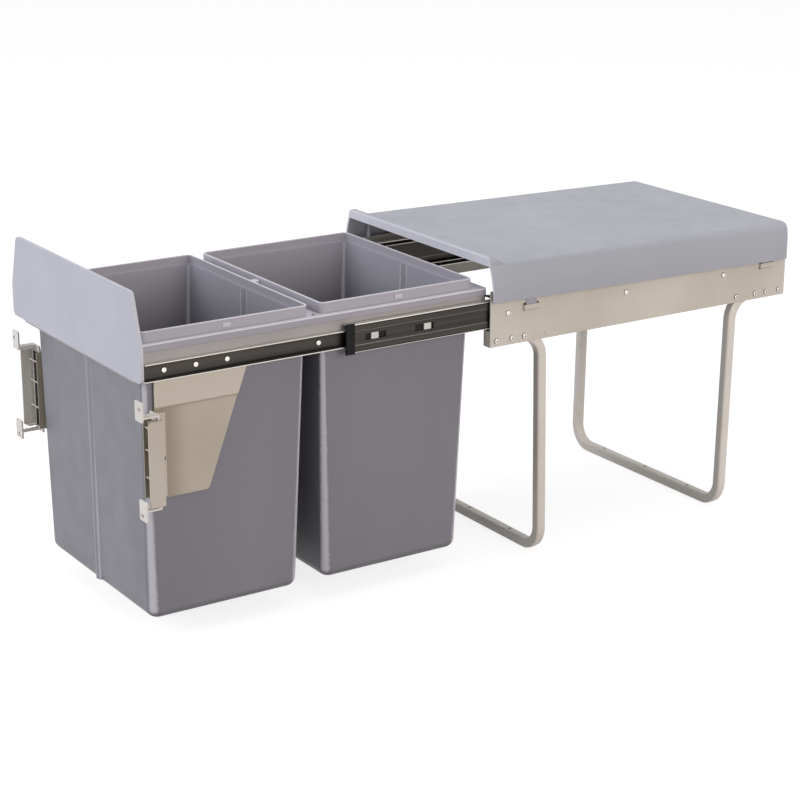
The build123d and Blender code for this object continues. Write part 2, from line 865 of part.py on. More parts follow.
def front_panel():
    front = drawer_front + panel_front
    outline = [(-panel_half, panel_low), (panel_half, panel_low), (panel_half, panel_shoulder),
               (panel_half_top, panel_high), (-panel_half_top, panel_high), (-panel_half, panel_shoulder)]
    face = make_face(Polyline([(x, front, z) for x, z in outline], close=True))
    low = face.vertices().group_by(Axis.Z)[0]
    face = fillet(low, panel_low_radius)
    face = fillet(face.vertices().group_by(Axis.Z)[-1], panel_top_radius)
    panel = extrude(face, amount=panel_thick, dir=(0, 1, 0))
    back = front + panel_thick
    holes = [rod(screw_shank + hole_clearance, (x, back - panel_thick / 2, z), (x, back + cut_overrun, z))
             for x, z in panel_screw_places()]
    return panel - holes


def panel_screws():
    seat = drawer_front + carrier_front + carrier_sheet
    length = carrier_sheet + panel_thick / 2
    return group([screw((x, seat, z), (0, 1, 0), screw_head, screw_head_height, screw_shank, length)
                  for x, z in panel_screw_places()])


# Door brackets

def plate_rear(height):
    return bracket_rear_low + (height - bracket_bottom) * bracket_slope


def bracket_plate():
    """The slanted steel plate that hangs beside the front bin, with a nose at its front edge."""
    here = drawer_front
    inner = bracket_face - bracket_sheet
    nose = here + nose_front
    front = here + bracket_front
    lower_outline = [
        (front, bracket_bottom), (here + plate_rear(bracket_bottom), bracket_bottom),
        (here + plate_rear(bracket_crease), bracket_crease), (front, bracket_crease),
    ]
    lower = side_slab(lower_outline, inner, bracket_face)
    corner = lower.edges().filter_by(Axis.X).sort_by(lambda edge: edge.center().Z - edge.center().Y)[0]
    lower = fillet(corner, bracket_radius)
    lower += block(inner, bracket_face, nose, front + bracket_sheet, nose_low, nose_high)
    overlap = bracket_crease - bracket_sheet
    upper_outline = [
        (front, overlap), (here + plate_rear(overlap), overlap),
        (here + plate_rear(bracket_top), bracket_top), (front, bracket_top),
    ]
    upper = side_slab(upper_outline, inner + bracket_joggle, bracket_face + bracket_joggle)
    plate = lower + upper
    hole_y = here + holder_web + holder_screw_inset
    holes = drawer_rivet_bores()
    holes += [rod(screw_shank + hole_clearance, (inner - cut_overrun, hole_y, holder_screw_height),
                  (bracket_face + cut_overrun, hole_y, holder_screw_height))]
    return plate - holes


def bracket_holder():
    """The folded holder: a flange on the plate, a web across and an outer wall with turned ends."""
    here = drawer_front
    low, high = holder_low, holder_high
    web_y = here + holder_web
    wall_x = holder_half - holder_sheet
    flange = block(bracket_face, bracket_face + holder_sheet, web_y - holder_sheet, web_y + holder_flange,
                   low, high)
    web = block(bracket_face, holder_half, web_y - holder_sheet, web_y, low, high)
    wall_outline = [(here + holder_front, low), (web_y, low), (web_y, high), (here + holder_front, high)]
    wall = side_slab(wall_outline, wall_x, holder_half)
    front_corners = wall.edges().filter_by(Axis.X).sort_by(Axis.Y)[:2]
    wall = fillet(front_corners, holder_radius)
    fold_rear = here + door_web - running_gap
    fold_front = here + holder_front + holder_radius
    folds = [block(wall_x - holder_fold, wall_x, fold_front, fold_rear, z, z + holder_sheet)
             for z in (low, high - holder_sheet)]
    holder = flange + web + wall + folds
    holes = []
    for z in adjuster_heights:
        holes.append(rod(adjuster_radius + hole_clearance, (adjuster_x, web_y - 2 * holder_sheet, z),
                         (adjuster_x, web_y + cut_overrun, z)))
    hole_y = here + holder_web + holder_screw_inset
    holes.append(rod(screw_shank + hole_clearance, (bracket_face - cut_overrun, hole_y, holder_screw_height),
                     (bracket_face + holder_sheet + cut_overrun, hole_y, holder_screw_height)))
    return holder - holes


def cover_strip_face():
    """Depth of the front of the strip that covers the adjusting screws."""
    return drawer_front + door_web - running_gap - adjuster_head_height - cover_strip_sheet


def bracket_covers():
    """The dark strips over the adjusting screws, behind the pins."""
    front = cover_strip_face()
    strip = block(cover_strip_inner, cover_strip_outer, front, front + cover_strip_sheet,
                  holder_low + holder_sheet + running_gap, holder_high - holder_sheet - running_gap)
    return group(both(strip))


def bracket_pins():
    y = cover_strip_face() - pin_radius
    pins = [rod(pin_radius, (bracket_face, y, z), (holder_half - holder_sheet, y, z)) for z in pin_heights]
    return group(pins + [mirrored(pin) for pin in pins])


def holder_screws():
    hole_y = drawer_front + holder_web + holder_screw_inset
    length = holder_sheet + bracket_sheet
    head = screw((bracket_face + holder_sheet, hole_y, holder_screw_height), (1, 0, 0), screw_head,
                 screw_head_height, screw_shank, length)
    return group(both(head))


def adjuster_screws():
    seat = drawer_front + door_web - running_gap
    length = door_sheet + running_gap + (holder_web - holder_sheet - door_web - door_sheet) + holder_sheet
    screws = [screw((adjuster_x, seat, z), (0, -1, 0), adjuster_head, adjuster_head_height,
                    adjuster_radius, length) for z in adjuster_heights]
    return group(screws + [mirrored(item) for item in screws])


def slot_cutter(x, z, y_low, y_high, radius, length, upright):
    """A slot through a sheet that faces the door."""
    angle = 90 if upright else 0
    plane = Plane(origin=(x, y_low, z), x_dir=(1, 0, 0), z_dir=(0, 1, 0))
    return extrude(plane * SlotOverall(length, 2 * radius, rotation=angle), amount=y_high - y_low)


def door_tab(edge, low, high):
    here = frame_front - drawer_reach
    tab = front_slab([(edge, low), (edge + tab_width, low), (edge + tab_width, high), (edge, high)],
                     here, here + door_sheet)
    return fillet(tab.edges().filter_by(Axis.Y), tab_radius)


def door_bracket():
    """The bracket that is screwed to the door: an upright web, two arms and two slotted tabs."""
    here = drawer_front
    front = frame_front - drawer_reach
    web_y = here + door_web
    arm_low = door_arm_low
    arm_top = door_arm_high
    web = block(door_inner, door_outer, web_y, web_y + door_sheet, arm_low, arm_top)
    for z in adjuster_heights:
        travel = 2 * (adjuster_radius + adjuster_slot_gap + adjust_range)
        web -= slot_cutter(adjuster_x, z, web_y - cut_overrun, web_y + door_sheet + cut_overrun,
                           adjuster_radius + adjuster_slot_gap, travel, True)
    arms = [block(edge, door_outer, front, web_y + door_sheet, z, z + door_sheet)
            for edge, z in ((lower_tab_edge, arm_low), (upper_tab_edge, arm_top - door_sheet))]
    upper = door_tab(upper_tab_edge, arm_top - door_sheet - tab_radius, upper_tab_top)
    lower = door_tab(lower_tab_edge, lower_tab_bottom, lower_tab_top)
    bracket = web + arms + upper + lower
    slots = [slot_cutter(slot_across, z, front - cut_overrun, front + door_sheet + cut_overrun,
                         door_slot_radius, door_slot_length, False)
             for z in (upper_slot_height, lower_slot_height)]
    return bracket - slots


def save(name, shape):
    solids = shape.solids()
    shape = solids[0] if len(solids) == 1 else Compound(children=list(solids))
    shape.label = name
    export_step(shape, "parts/" + name + ".step")
    print(name, len(solids), round(sum(solid.volume for solid in solids)))


def save_pair(name, shape):
    save(name + "_right", shape)
    save(name + "_left", mirrored(shape))


def main():
    os.makedirs("parts", exist_ok=True)
    save("leg_front", leg_front())
    save("leg_rear", leg_rear())
    save_pair("side_plate", side_plate())
    save("top_cover", top_cover())
    save_pair("outer_slide", outer_slide())
    save("slide_bumpers", group(both(slide_bumper())))
    save("leg_screws", leg_screws())
    save("plate_rivets", pale_rivets())
    save("slide_rivets", slide_rivets())
    member = middle_slide()
    save_pair("middle_slide", member)
    save_pair("slide_clip", slide_clip(member))
    save_pair("latch_tabs", latch_tabs())
    save_pair("outer_cage", outer_cage())
    save_pair("outer_balls", outer_balls())
    save_pair("inner_cage", inner_cage())
    save_pair("inner_balls", inner_balls())
    save_pair("inner_slide", inner_slide())
    save("drawer_rivets", drawer_rivets())
    save("carrier_frame", carrier_frame())
    save("bin_tray", bin_tray())
    save("tray_post", tray_post())
    save("front_panel", front_panel())
    save("panel_screws", panel_screws())
    save_pair("bracket_plate", bracket_plate())
    save_pair("bracket_holder", bracket_holder())
    save("bracket_pins", bracket_pins())
    save("bracket_covers", bracket_covers())
    save("holder_screws", holder_screws())
    save("adjuster_screws", adjuster_screws())
    save_pair("door_bracket", door_bracket())
    front_bin, rear_bin = [make_bin(start) for start in bin_starts()]
    save("bin_front", front_bin)
    save("bin_rear", rear_bin)


main()
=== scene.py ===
import json
import math
import bpy
from mathutils import Matrix, Vector

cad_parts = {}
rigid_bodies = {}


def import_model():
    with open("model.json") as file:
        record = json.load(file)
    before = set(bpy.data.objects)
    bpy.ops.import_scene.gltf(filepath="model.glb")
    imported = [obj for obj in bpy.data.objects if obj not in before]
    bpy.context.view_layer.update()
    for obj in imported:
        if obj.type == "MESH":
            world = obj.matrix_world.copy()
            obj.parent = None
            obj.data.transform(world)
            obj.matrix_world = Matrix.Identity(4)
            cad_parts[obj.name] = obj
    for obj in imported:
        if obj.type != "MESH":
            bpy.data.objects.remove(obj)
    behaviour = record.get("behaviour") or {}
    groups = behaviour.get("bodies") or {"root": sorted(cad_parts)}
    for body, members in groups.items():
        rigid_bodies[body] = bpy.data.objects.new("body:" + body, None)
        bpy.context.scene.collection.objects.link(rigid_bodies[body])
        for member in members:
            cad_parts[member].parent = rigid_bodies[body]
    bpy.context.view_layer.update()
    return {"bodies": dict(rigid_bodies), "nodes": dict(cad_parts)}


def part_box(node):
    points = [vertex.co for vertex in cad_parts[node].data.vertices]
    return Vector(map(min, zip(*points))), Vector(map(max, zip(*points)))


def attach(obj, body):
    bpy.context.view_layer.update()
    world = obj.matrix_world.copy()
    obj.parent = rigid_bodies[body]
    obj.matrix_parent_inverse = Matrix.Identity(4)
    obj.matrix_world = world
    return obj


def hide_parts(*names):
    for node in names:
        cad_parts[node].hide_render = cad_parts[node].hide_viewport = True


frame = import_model()
nodes = frame["nodes"]
bpy.ops.object.select_all(action="DESELECT")
scene = bpy.context.scene
scene.view_settings.view_transform = "Standard"


def linear(hexColour):
    # a screen colour as the linear values that shaders and lamps take
    values = [int(hexColour[i:i + 2], 16) / 255 for i in (0, 2, 4)]
    return [v / 12.92 if v <= 0.04045 else ((v + 0.055) / 1.055) ** 2.4 for v in values] + [1]


def noiseOn(mat, scale, detail, stretch=(1, 1, 1)):
    # noise on the object's own coordinates, drawn out along an axis where stretch is small
    tree = mat.node_tree
    where = tree.nodes.new("ShaderNodeTexCoord")
    fit = tree.nodes.new("ShaderNodeMapping")
    fit.inputs["Scale"].default_value = stretch
    noise = tree.nodes.new("ShaderNodeTexNoise")
    noise.inputs["Scale"].default_value = scale
    noise.inputs["Detail"].default_value = detail
    tree.links.new(where.outputs["Object"], fit.inputs["Vector"])
    tree.links.new(fit.outputs["Vector"], noise.inputs["Vector"])
    return noise.outputs["Fac"]


def placeOn(mat, axis, coordinates="Object"):
    # the object's own place or normal along one axis
    tree = mat.node_tree
    where = tree.nodes.new("ShaderNodeTexCoord")
    split = tree.nodes.new("ShaderNodeSeparateXYZ")
    tree.links.new(where.outputs[coordinates], split.inputs[0])
    return split.outputs[axis]


def sums(mat, kind, first, second=0):
    # one step of arithmetic on numbers or sockets
    node = mat.node_tree.nodes.new("ShaderNodeMath")
    node.operation = kind
    for socket, value in zip(node.inputs, (first, second)):
        if isinstance(value, (int, float)):
            socket.default_value = value
        else:
            mat.node_tree.links.new(value, socket)
    return node.outputs[0]


def product(mat, first, second):
    return sums(mat, "MULTIPLY", first, second)


def opposite(mat, mask):
    return sums(mat, "SUBTRACT", 1, mask)


def awayFrom(mat, value, centre=0):
    # how far the value lies from the centre, either way
    return sums(mat, "ABSOLUTE", sums(mat, "SUBTRACT", value, centre))


def between(mat, value, low, high, start, end):
    # low up to start, high from end on, with a smooth change from one to the other
    node = mat.node_tree.nodes.new("ShaderNodeMapRange")
    node.interpolation_type = "SMOOTHSTEP"
    for socket, number in (("From Min", start), ("From Max", end), ("To Min", low), ("To Max", high)):
        node.inputs[socket].default_value = number
    mat.node_tree.links.new(value, node.inputs["Value"])
    return node.outputs["Result"]


def rises(mat, value, start, end):
    return between(mat, value, 0, 1, start, end)


def falls(mat, value, start, end, most=1):
    return between(mat, value, most, 0, start, end)


def mixed(mat, mask, first, second):
    # the first colour where the mask is 0 and the second where it is 1, each a code or a socket
    node = mat.node_tree.nodes.new("ShaderNodeMix")
    node.data_type = "RGBA"
    mat.node_tree.links.new(mask, node.inputs["Factor"])
    for name, value in (("A", first), ("B", second)):
        socket = [s for s in node.inputs if s.name == name and s.type == "RGBA"][0]
        if isinstance(value, str):
            socket.default_value = linear(value)
        else:
            mat.node_tree.links.new(value, socket)
    return [s for s in node.outputs if s.type == "RGBA"][0]


def clouded(mat, surface, shades):
    # the darker colour of a finish running into its lighter one
    node = mat.node_tree.nodes.new("ShaderNodeValToRGB")
    first, last = node.color_ramp.elements
    first.position, last.position = surface["spread"]
    first.color, last.color = linear(shades["dark"]), linear(shades["light"])
    mat.node_tree.links.new(noiseOn(mat, **surface["cloud"]), node.inputs["Fac"])
    return node.outputs["Color"]


def bumpFrom(mat, shader, height, strength, distance):
    node = mat.node_tree.nodes.new("ShaderNodeBump")
    node.inputs["Strength"].default_value = strength
    node.inputs["Distance"].default_value = distance
    mat.node_tree.links.new(height, node.inputs["Height"])
    mat.node_tree.links.new(node.outputs["Normal"], shader.inputs["Normal"])


plainShader = {
    "Metallic": 0, "IOR": 1.46, "Specular IOR Level": 0.5, "Coat Weight": 0, "Coat Roughness": 0.2,
}
glossSpread = (0.3, 0.7)


def makeFinish(name, surface, shades, shading=None):
    # a clouded colour, its own shading where it has some, an uneven gloss and a fine grain
    mat = bpy.data.materials.new(name)
    mat.use_nodes = True
    shader = mat.node_tree.nodes["Principled BSDF"]
    for socket, value in {**plainShader, **surface["shader"], **shades.get("shader", {})}.items():
        shader.inputs[socket].default_value = value
    colour = clouded(mat, surface, shades)
    if shading:
        colour = shading(mat, colour, shades)
    mat.node_tree.links.new(colour, shader.inputs["Base Color"])
    gloss = between(mat, noiseOn(mat, **surface["gloss"]), *shades["roughness"], *glossSpread)
    mat.node_tree.links.new(gloss, shader.inputs["Roughness"])
    grain = noiseOn(mat, **surface["grain"])
    bumpFrom(mat, shader, grain, shades.get("bump", surface["bump"]), surface["depth"])
    return mat


# Baked powder coat: orange peel, faint cloudiness, a soft gloss
powderSurface = {
    "shader": {"Coat Weight": 0.12, "Coat Roughness": 0.35},
    "cloud": {"scale": 9, "detail": 4}, "spread": (0.35, 0.65), "gloss": {"scale": 60, "detail": 4},
    "grain": {"scale": 900, "detail": 2}, "bump": 0.12, "depth": 0.0002,
}
powderCoat = {
    "cream": {"dark": "C5BEB3", "light": "CFC9BF", "roughness": (0.4, 0.52)},
    # pale is a lighter copy of the cream that paints light on the far holder and the door brackets;
    # holder is a darker copy that paints shade on the near holder
    "pale": {"dark": "DAD5CD", "light": "E2DED7", "roughness": (0.38, 0.5)},
    "leg": {"dark": "D6D0C6", "light": "E0DAD2", "roughness": (0.26, 0.38)},
    "holder": {"dark": "B7AFA0", "light": "C1B9AB", "roughness": (0.4, 0.52)},
    "grey": {"dark": "A09E9D", "light": "A8A6A5", "roughness": (0.36, 0.48), "bump": 0.1},
}
plateShades = {
    "dark": "B1A898", "light": "BCB3A4", "roughness": (0.4, 0.52),
    # crease and nose are painted shade, upper is painted light
    "joggleDepth": 0.0505, "joggleHalf": 0.0022, "crease": "8D8475", "creaseStrength": 0.75,
    "nose": "958C7A", "noseFrom": 0.025, "noseTo": 0.06, "upper": "C6BEB0",
}


def plateShading(mat, colour, shades):
    # painted shade: a dark crease along the bracket plate's joggle and a darker nose below it;
    # painted light: paler steel above the joggle
    low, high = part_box("bracket_plate_right")
    joggle = high.z - shades["joggleDepth"]
    height = placeOn(mat, "Z")
    away = awayFrom(mat, height, joggle)
    crease = falls(mat, away, 0, shades["joggleHalf"], shades["creaseStrength"])
    colour = mixed(mat, crease, colour, shades["crease"])
    above = rises(mat, height, joggle, joggle + shades["joggleHalf"])
    nose = falls(mat, placeOn(mat, "Y"), low.y + shades["noseFrom"], low.y + shades["noseTo"])
    colour = mixed(mat, product(mat, nose, opposite(mat, above)), colour, shades["nose"])
    return mixed(mat, above, colour, shades["upper"])


# Large mouldings: fine spark-eroded grain, long pale flow marks, small changes of gloss
mouldedSurface = {
    "shader": {},
    "cloud": {"scale": 7, "detail": 5, "stretch": (1.2, 1.2, 0.35)}, "spread": (0.3, 0.7),
    "gloss": {"scale": 35, "detail": 4}, "grain": {"scale": 2600, "detail": 2},
    "bump": 0.1, "depth": 0.00012,
}
panelShades = {"dark": "B8B9C2", "light": "C0C1C9", "roughness": (0.4, 0.5)}
coverShades = {
    "dark": "A1A3AA", "light": "A9ABB2", "roughness": (0.4, 0.5),
    # front is a painted highlight on the faces that look forward
    "front": "D2D3DA", "frontFrom": -0.9, "frontTo": -0.4,
}


def coverShading(mat, colour, shades):
    # painted highlight: what faces forward is painted paler
    forward = falls(mat, placeOn(mat, "Y", "Normal"), shades["frontFrom"], shades["frontTo"])
    return mixed(mat, forward, colour, shades["front"])


trayShades = {
    "dark": "9A979F", "light": "A29FA7", "roughness": (0.34, 0.44),
    # top is painted light on the upward faces, line a painted highlight along the upper edge
    "top": "D0CED4", "topFrom": 0.3, "topTo": 0.8,
    "line": "DAD8DE", "lineDepth": 0.0012, "lineBlur": 0.0002,
}


def trayShading(mat, colour, shades):
    # painted light on the top faces, and a painted highlight along the tray's upper edge
    upward = rises(mat, placeOn(mat, "Z", "Normal"), shades["topFrom"], shades["topTo"])
    colour = mixed(mat, upward, colour, shades["top"])
    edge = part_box("bin_tray")[1].z - shades["lineDepth"]
    line = rises(mat, placeOn(mat, "Z"), edge - shades["lineBlur"], edge)
    return mixed(mat, product(mat, line, opposite(mat, upward)), colour, shades["line"])


# insideFrom, insideTo and brimDepth go down from the rim, nibDepth in from the nibs' faces
binShades = {
    "dark": "75737A", "light": "7D7B82", "roughness": (0.32, 0.44),
    # inside is painted light on the upper inside walls, fill and the pleat highlights paint light on
    # the pleats, collar paints light on the collar
    "inside": "A2A0A8", "insideFrom": 0.139, "insideTo": 0.009, "inward": -0.02,
    "fill": "8B8990", "fillStrength": 0.6,
    "pleat": "ACAAB1", "pleatInside": "DAD8DE", "pleatStrength": 0.8,
    "pleatHalf": 0.0068, "pleatSoftness": 0.0012,
    # corner, brim and nib are painted highlights, foot is a painted shade
    "corner": "C2C0C7", "cornerFrom": 0.24, "cornerTo": 0.5,
    "foot": "4A484E", "footFrom": -0.8, "footTo": -0.1,
    "collar": "A8A5AD", "collarAbove": 0.0003, "brim": "D0CED4", "brimDepth": 0.0006,
    "softness": 0.0006, "nib": "C4C2C8", "nibDepth": 0.0005, "nibSoftness": 0.00015,
}


def facingIn(mat, middle, limit):
    # 1 on faces that look towards the upright through the bin's middle, 0 on its outside
    across = product(mat, placeOn(mat, "X", "Normal"), placeOn(mat, "X"))
    ahead = sums(mat, "SUBTRACT", placeOn(mat, "Y"), middle)
    along = product(mat, placeOn(mat, "Y", "Normal"), ahead)
    return sums(mat, "LESS_THAN", sums(mat, "ADD", across, along), limit)


def roundCorners(mat, start, end):
    # 1 where the surface turns round an upright corner, 0 on the flat walls
    across = awayFrom(mat, placeOn(mat, "X", "Normal"))
    along = awayFrom(mat, placeOn(mat, "Y", "Normal"))
    return rises(mat, product(mat, across, along), start, end)


def binShading(mat, colour, shades):
    # painted light: paler inside near the top, on the pleats and on the collar; painted highlights
    # round the corners, on the brim and nibs;
    # painted shade: darker under the foot
    low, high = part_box(shades["bin"])
    height = placeOn(mat, "Z")
    side = awayFrom(mat, placeOn(mat, "X"))
    inside = facingIn(mat, (low.y + high.y) / 2, shades["inward"])
    upper = rises(mat, height, high.z - shades["insideFrom"], high.z - shades["insideTo"])
    colour = mixed(mat, product(mat, inside, upper), colour, shades["inside"])

    half = shades["pleatHalf"]
    fill = falls(mat, side, half - shades["pleatSoftness"], half, shades["fillStrength"])
    colour = mixed(mat, fill, colour, shades["fill"])
    ridge = falls(mat, awayFrom(mat, side, half), 0, shades["pleatSoftness"], shades["pleatStrength"])
    colour = mixed(mat, ridge, colour, mixed(mat, inside, shades["pleat"], shades["pleatInside"]))

    # painted highlight round the upright corners
    corners = roundCorners(mat, shades["cornerFrom"], shades["cornerTo"])
    colour = mixed(mat, corners, colour, shades["corner"])
    # painted shade on the rounded foot, where it turns down towards the floor
    foot = falls(mat, placeOn(mat, "Z", "Normal"), shades["footFrom"], shades["footTo"])
    colour = mixed(mat, product(mat, foot, opposite(mat, inside)), colour, shades["foot"])

    softness = shades["softness"]
    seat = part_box("bin_tray")[1].z + shades["collarAbove"]
    collar = rises(mat, height, seat - softness, seat + softness)
    colour = mixed(mat, collar, colour, shades["collar"])
    rim = high.z - shades["brimDepth"]
    colour = mixed(mat, rises(mat, height, rim - softness, rim), colour, shades["brim"])
    face = high.x - shades["nibDepth"]
    nibs = rises(mat, side, face - shades["nibSoftness"], face + shades["nibSoftness"])
    return mixed(mat, nibs, colour, shades["nib"])


# Dark plated strip of the slides, with streaks along it
streaks = {"scale": 260, "detail": 4, "stretch": (1, 0.015, 1)}
stripSurface = {
    "shader": {"Metallic": 0.75}, "cloud": streaks, "spread": (0.3, 0.7),
    "gloss": streaks, "grain": streaks, "bump": 0.12, "depth": 0.0001,
}
stripShades = {
    "dark": "35322F", "light": "45413D", "roughness": (0.28, 0.46),
    # edge and track are painted highlights, seam is a painted shade
    "edge": "D2CEC7", "edgeWidth": 0.0011, "seam": "141312", "seamWidth": 0.0012, "blur": 0.000275,
}
middleTrackHighlights = {"track": "8A867F", "trackAway": 0.0083, "trackWidth": 0.0006}


def stripShading(mat, colour, shades):
    # painted highlights on the rolled edges, a painted shade in the seam inside each, and on the
    # middle member painted highlights along two ball tracks
    low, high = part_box(shades["member"])
    away = awayFrom(mat, placeOn(mat, "Z"), (low.z + high.z) / 2)
    edge = (high.z - low.z) / 2 - shades["edgeWidth"]
    seam = edge - shades["seamWidth"]
    blur = shades["blur"]
    colour = mixed(mat, rises(mat, away, seam - blur, seam + blur), colour, shades["seam"])
    colour = mixed(mat, rises(mat, away, edge - blur, edge + blur), colour, shades["edge"])
    if "track" in shades:
        track = falls(mat, awayFrom(mat, away, shades["trackAway"]), 0, shades["trackWidth"])
        colour = mixed(mat, track, colour, shades["track"])
    return colour


# Plated metal of the small parts
platedSurface = {
    "shader": {"Metallic": 0.9},
    "cloud": {"scale": 60, "detail": 3}, "spread": (0.3, 0.7), "gloss": {"scale": 400, "detail": 3},
    "grain": {"scale": 900, "detail": 2}, "bump": 0.1, "depth": 0.0001,
}
platedShades = {
    "cage": {"dark": "211F1D", "light": "2B2826", "roughness": (0.4, 0.55)},
    "nickel": {"dark": "A39D94", "light": "B3ADA4", "roughness": (0.3, 0.42)},
    "blacked": {"dark": "2B2825", "light": "3A3632", "roughness": (0.35, 0.5)},
}
headShades = {
    # rim is a painted shade on the part of each head that turns away from its flat
    "legScrew": {"dark": "CFCBC4", "light": "DBD7D0", "rim": "5E5850"},
    "slideRivet": {"dark": "CFCBC4", "light": "DBD7D0", "rim": "6A645C"},
    "drawerRivet": {"dark": "D6D2CC", "light": "E2DED8", "rim": "3A3733"},
}
headFlat = {"roughness": (0.3, 0.42), "flatFrom": 0.45, "flatTo": 0.8}


def headShading(mat, colour, shades):
    # painted shade: the flat of a head keeps its bright colour and what turns away from it is painted
    # darker
    facing = awayFrom(mat, placeOn(mat, "X", "Normal"))
    flat = rises(mat, facing, shades["flatFrom"], shades["flatTo"])
    return mixed(mat, flat, shades["rim"], colour)


# Small mouldings: stops, clips, covers and tabs
smallSurface = {
    "shader": {},
    "cloud": {"scale": 90, "detail": 3}, "spread": (0.3, 0.7), "gloss": {"scale": 240, "detail": 2},
    "grain": {"scale": 1500, "detail": 2}, "bump": 0.1, "depth": 0.0001,
}
smallShades = {
    "black": {"dark": "060606", "light": "0B0B0B", "roughness": (0.45, 0.6),
              "shader": {"Specular IOR Level": 0.2}},
    "white": {"dark": "CFCDC8", "light": "DAD8D4", "roughness": (0.35, 0.5)},
}


def powderFinish(name, shade):
    return makeFinish(name, powderSurface, powderCoat[shade])


def binFinish(name, node):
    return makeFinish(name, mouldedSurface, {**binShades, "bin": node}, binShading)


def stripFinish(name, member, **track):
    return makeFinish(name, stripSurface, {**stripShades, **track, "member": member}, stripShading)


def headFinish(name, shade):
    return makeFinish(name, platedSurface, {**headFlat, **headShades[shade]}, headShading)


# By slot, and by node or pair where a piece's finish differs from its slot's
finishes = {
    "cream_steel": powderFinish("creamPowderCoat", "cream"),
    "grey_steel": powderFinish("greyPowderCoat", "grey"),
    "cover_plastic": makeFinish("coverPlastic", mouldedSurface, coverShades, coverShading),
    "tray_plastic": makeFinish("trayPlastic", mouldedSurface, trayShades, trayShading),
    "zinc_steel": makeFinish("darkPlatedSteel", platedSurface, platedShades["cage"]),
    "bright_steel": makeFinish("nickelSteel", platedSurface, platedShades["nickel"]),
    "black_plastic": makeFinish("blackPlastic", smallSurface, smallShades["black"]),
    "white_plastic": makeFinish("whitePlastic", smallSurface, smallShades["white"]),
    # the holders get lit and shaded copies of the cream: painted light on the far one, painted shade
    # on the near one
    "bracket_holder_left": powderFinish("farHolderPowderCoat", "pale"),
    "bracket_holder_right": powderFinish("nearHolderPowderCoat", "holder"),
    "bracket_plate": makeFinish("platePowderCoat", powderSurface, plateShades, plateShading),
    "door_bracket": powderFinish("palePowderCoat", "pale"),
    "leg_front": powderFinish("frontLegPowderCoat", "leg"),
    "leg_rear": powderFinish("rearLegPowderCoat", "leg"),
    "front_panel": makeFinish("panelPlastic", mouldedSurface, panelShades),
    "bin_front": binFinish("frontBinPlastic", "bin_front"),
    "bin_rear": binFinish("rearBinPlastic", "bin_rear"),
    "outer_slide": stripFinish("outerStrip", "outer_slide_right"),
    "middle_slide": stripFinish("middleStrip", "middle_slide_right", **middleTrackHighlights),
    "inner_slide": stripFinish("innerStrip", "inner_slide_right"),
    "holder_screws": makeFinish("blackedSteel", platedSurface, platedShades["blacked"]),
    "leg_screws": headFinish("screwSteel", "legScrew"),
    "slide_rivets": headFinish("slideRivetSteel", "slideRivet"),
    "drawer_rivets": headFinish("drawerRivetSteel", "drawerRivet"),
}


def slotOf(node):
    return node.data.materials[0].name.split(".")[0]


slots = {name: slotOf(node) for name, node in nodes.items()}


def finishOf(name):
    # a node's own finish, else that of its pair, else that of its slot
    pair = name.replace("_right", "").replace("_left", "")
    for key in (name, pair):
        if key in finishes:
            return finishes[key]
    return finishes[slots[name]]


for name, node in nodes.items():
    for i in range(len(node.data.materials)):
        node.data.materials[i] = finishOf(name)
print("finishes made:", len(finishes))

# How far the edges of each sheet or moulding are rounded, and in how many steps
rounding = {
    "top_cover": (0.0008, 3), "front_panel": (0.0011, 3), "bin_tray": (0.0009, 3),
    "tray_post": (0.0009, 3), "bin_front": (0.0008, 3), "bin_rear": (0.0008, 3),
    "side_plate": (0.0004, 2), "bracket_plate": (0.0004, 2), "bracket_holder": (0.0006, 3),
    "door_bracket": (0.0005, 3), "middle_slide": (0.0003, 2), "slide_clip": (0.0003, 2),
    "latch_tabs": (0.0003, 2), "carrier_frame": (0.0004, 2),
}
edgeWork = {
    "merge": 0.000004, "flatDegrees": 0.4, "roundedDegrees": 38, "smoothDegrees": 32, "weight": 100,
}


def bodyUnder(node):
    return [name for name, empty in frame["bodies"].items() if empty == node.parent][0]


def roundedCopy(name, width, steps):
    # a copy of the node with its flat faces joined and its hard edges rounded
    node = nodes[name]
    bpy.ops.object.select_all(action="DESELECT")
    node.select_set(True)
    bpy.context.view_layer.objects.active = node
    bpy.ops.object.duplicate()
    piece = bpy.context.object
    piece.name = "rounded_" + name
    bpy.ops.object.mode_set(mode="EDIT")
    bpy.ops.mesh.select_all(action="SELECT")
    bpy.ops.mesh.remove_doubles(threshold=edgeWork["merge"])
    bpy.ops.mesh.dissolve_limited(angle_limit=math.radians(edgeWork["flatDegrees"]))
    bpy.ops.object.mode_set(mode="OBJECT")
    edges = piece.modifiers.new("edges", "BEVEL")
    edges.width = width
    edges.segments = steps
    edges.limit_method = "ANGLE"
    edges.angle_limit = math.radians(edgeWork["roundedDegrees"])
    bpy.ops.object.modifier_apply(modifier=edges.name)
    bpy.ops.object.shade_smooth_by_angle(angle=math.radians(edgeWork["smoothDegrees"]))
    even = piece.modifiers.new("even", "WEIGHTED_NORMAL")
    even.weight = edgeWork["weight"]
    even.keep_sharp = True
    bpy.ops.object.modifier_apply(modifier=even.name)
    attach(piece, bodyUnder(node))
    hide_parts(name)


def nodesOf(piece):
    # the node of that name, or the two of a pair
    return [name for name in (piece, piece + "_right", piece + "_left") if name in nodes]


for piece, edges in rounding.items():
    for name in nodesOf(piece):
        roundedCopy(name, *edges)
print("edges rounded on:", sum(len(nodesOf(piece)) for piece in rounding), "pieces")


def seenByCamera(owner):
    # 1 for camera, mirror and see-through rays, 0 for the light that falls on the object
    path = owner.node_tree.nodes.new("ShaderNodeLightPath")
    straight = sums(owner, "MAXIMUM", path.outputs["Is Camera Ray"], path.outputs["Is Glossy Ray"])
    return sums(owner, "MAXIMUM", straight, path.outputs["Is Transmission Ray"])


paper = {"size": 40, "colour": "A8A8A8", "glow": 0.8, "glowColour": "FFFFFF"}


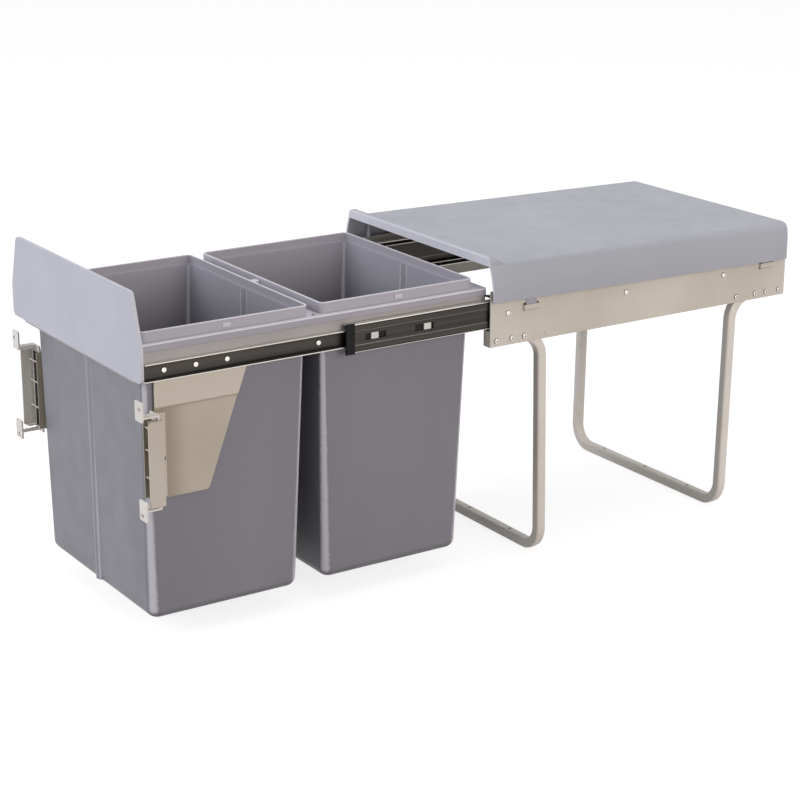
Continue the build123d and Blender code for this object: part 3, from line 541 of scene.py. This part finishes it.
def makeFloor():
    bpy.ops.mesh.primitive_plane_add(size=paper["size"], location=(0, 0, 0))
    floor = bpy.context.object
    floor.name = "studioFloor"
    mat = bpy.data.materials.new("studioPaper")
    mat.use_nodes = True
    tree = mat.node_tree
    tree.nodes.remove(tree.nodes["Principled BSDF"])
    matt = tree.nodes.new("ShaderNodeBsdfDiffuse")
    matt.inputs["Color"].default_value = linear(paper["colour"])
    glow = tree.nodes.new("ShaderNodeEmission")
    glow.inputs["Color"].default_value = linear(paper["glowColour"])
    tree.links.new(product(mat, seenByCamera(mat), paper["glow"]), glow.inputs["Strength"])
    together = tree.nodes.new("ShaderNodeAddShader")
    tree.links.new(matt.outputs[0], together.inputs[0])
    tree.links.new(glow.outputs[0], together.inputs[1])
    tree.links.new(together.outputs[0], tree.nodes["Material Output"].inputs["Surface"])
    floor.data.materials.append(mat)


room = {"colour": "FFFFFF", "onObject": 0.42, "seen": 1}


def makeWorld():
    world = bpy.data.worlds.new("studioRoom")
    scene.world = world
    world.use_nodes = True
    background = world.node_tree.nodes["Background"]
    background.inputs["Color"].default_value = linear(room["colour"])
    strength = between(world, seenByCamera(world), room["onObject"], room["seen"], 0, 1)
    world.node_tree.links.new(strength, background.inputs["Strength"])


lampsTowards = (0, 0, 0.2)
lamps = [
    {"name": "keyFromFront", "at": (-0.9, -3.2, 1.7), "size": 2.2, "power": 63, "colour": "F6F6FF"},
    {"name": "softTop", "at": (0.2, 0.2, 3.2), "size": 2.8, "power": 27, "colour": "F3F7FF"},
    {"name": "sideFill", "at": (3.4, 0.3, 1.2), "size": 2.0, "power": 55, "colour": "FFF4F0"},
]


def makeLamp(lamp):
    bpy.ops.object.light_add(type="AREA", location=lamp["at"])
    light = bpy.context.object
    light.name = lamp["name"]
    light.data.shape = "DISK"
    light.data.size = lamp["size"]
    light.data.energy = lamp["power"]
    light.data.color = linear(lamp["colour"])[:3]
    towards = Vector(lampsTowards) - Vector(lamp["at"])
    light.rotation_euler = towards.to_track_quat("-Z", "Y").to_euler()


photoView = {
    "eye": (2.0819, -1.3943, 0.9804), "target": (-0.0352, -0.003, 0.1667), "rollDegrees": 0.221,
    "focalPixels": 2066.4, "framePixels": 800, "sensor": 36, "nearest": 0.05, "farthest": 100,
}


def makeCamera():
    bpy.ops.object.camera_add(location=photoView["eye"])
    camera = bpy.context.object
    camera.name = "photoCamera"
    forward = (Vector(photoView["target"]) - Vector(photoView["eye"])).normalized()
    right = forward.cross(Vector((0, 0, 1))).normalized()
    up = right.cross(forward)
    turn = math.radians(photoView["rollDegrees"])
    sideways = right * math.cos(turn) + up * math.sin(turn)
    upright = up * math.cos(turn) - right * math.sin(turn)
    axes = Matrix((sideways, upright, -forward)).transposed().to_4x4()
    axes.translation = Vector(photoView["eye"])
    camera.matrix_world = axes
    camera.data.sensor_width = photoView["sensor"]
    camera.data.lens = photoView["focalPixels"] / photoView["framePixels"] * photoView["sensor"]
    camera.data.clip_start = photoView["nearest"]
    camera.data.clip_end = photoView["farthest"]
    scene.camera = camera


makeFloor()
makeWorld()
for lamp in lamps:
    makeLamp(lamp)
makeCamera()
print("studio ready:", len(lamps), "lamps")
